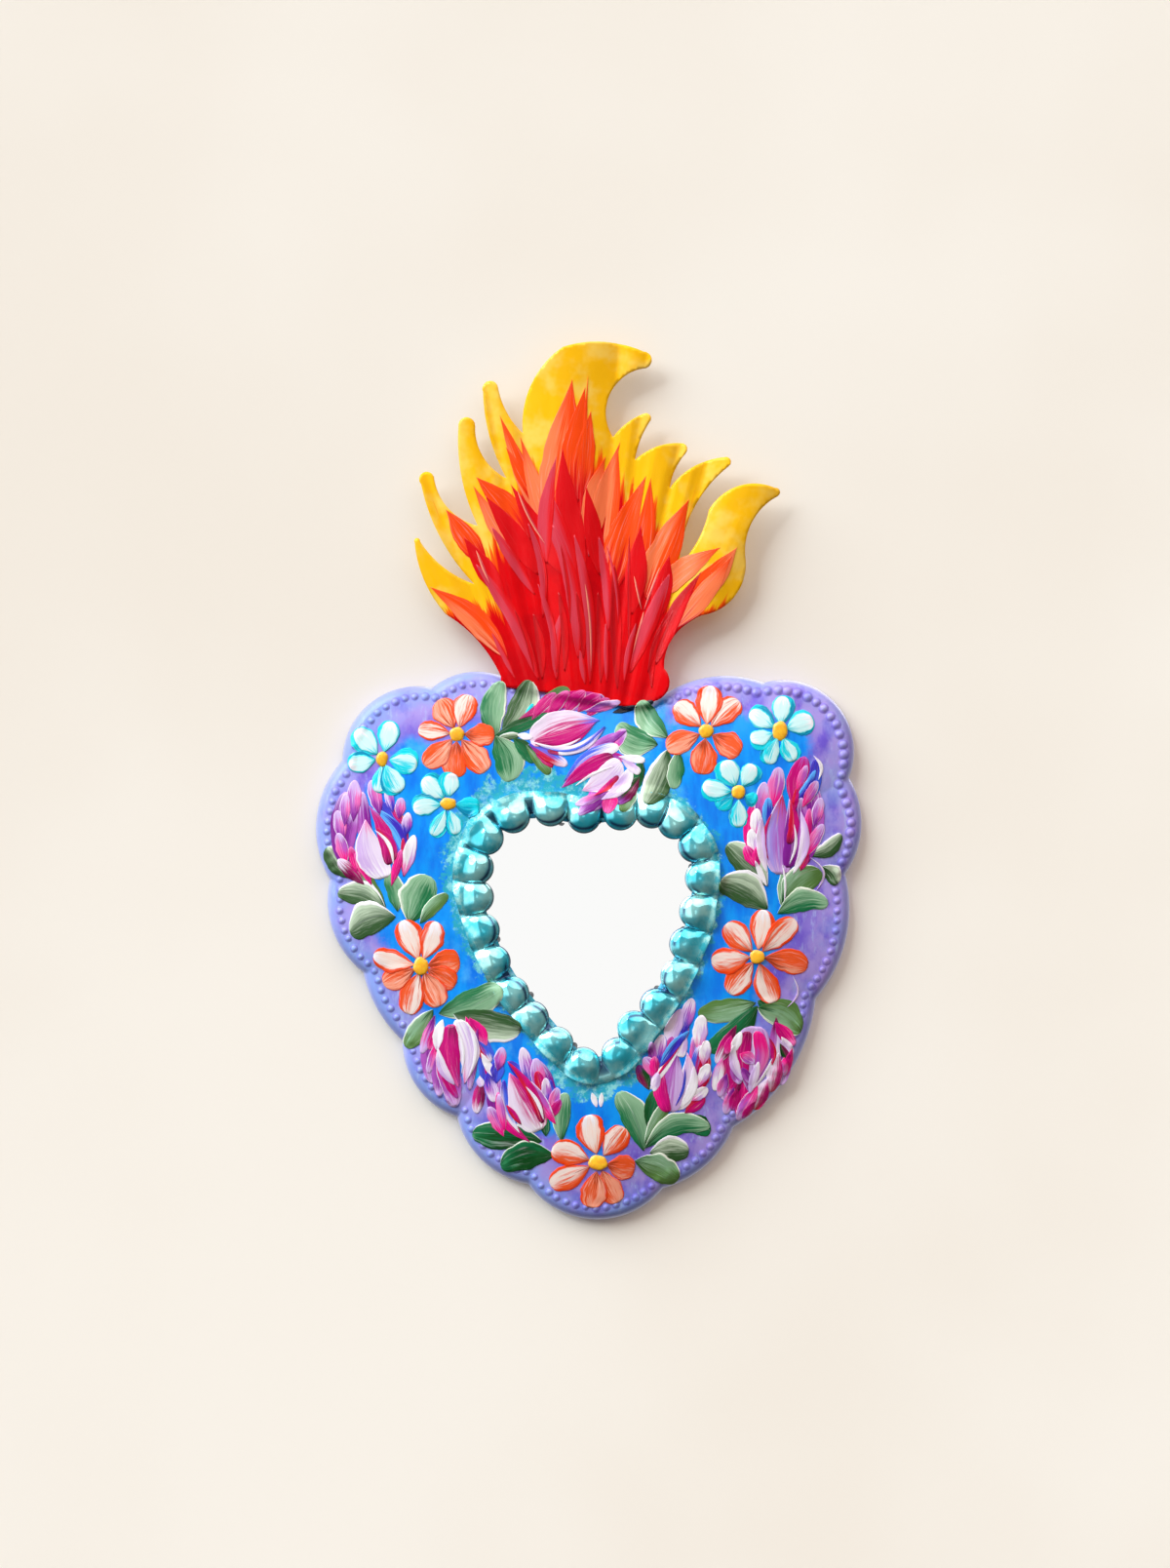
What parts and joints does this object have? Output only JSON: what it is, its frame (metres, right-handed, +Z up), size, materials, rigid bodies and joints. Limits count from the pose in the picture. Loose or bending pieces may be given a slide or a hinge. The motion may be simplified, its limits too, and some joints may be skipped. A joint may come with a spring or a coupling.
{
  "type": "tin heart mirror",
  "caption": "Painted tin heart wall mirror with a scalloped beaded rim, a lobed bezel and a fluted flame above, hung from a swivelling wire loop.",
  "frame": {"origin": "the hanging point: under the arch of the hanging loop, on the plane of the wall", "axes": "+Z up the heart towards the flame, -Y the way the mirror faces, away from the wall, +X to the viewer's right"},
  "size_m": [0.1901, 0.0167, 0.305],
  "materials": {
    "painted_heart": "glossy hand-painted enamel on tin, azure field, violet rim",
    "painted_bezel": "translucent turquoise lacquer over bright tin",
    "painted_flame": "glossy enamel, red at the foot through orange to yellow tips",
    "mirror_glass": "silvered glass",
    "backing_card": "plain brown card",
    "bare_tin": "bare tinplate, dull",
    "solder": "soft solder, smooth and rounded",
    "loop_wire": "galvanised wire"
  },
  "bodies": {
    "mirror": {"back_plate": "bare_tin", "backing_card": "backing_card", "bezel_solder": "solder", "flame": "painted_flame", "flame_solder": "solder", "hanger_strap": "bare_tin", "heart_front": "painted_heart", "mirror_bezel": "painted_bezel", "mirror_glass": "mirror_glass", "mirror_tab_1": "bare_tin", "mirror_tab_2": "bare_tin", "mirror_tab_3": "bare_tin", "mirror_tab_4": "bare_tin", "mirror_tab_5": "bare_tin", "mirror_tab_6": "bare_tin", "plate_solder": "solder", "strap_solder": "solder", "tab_solder": "solder"},
    "loop": {"hanging_loop": "loop_wire"}
  },
  "joints": [
    {"name": "loop_hinge", "type": "hinge", "parent": "mirror", "child": "loop", "pos_m": [0, -0.0031, -0.0152], "axis": [-1, 0, 0], "range_deg": [0, 182.8]}
  ]
}
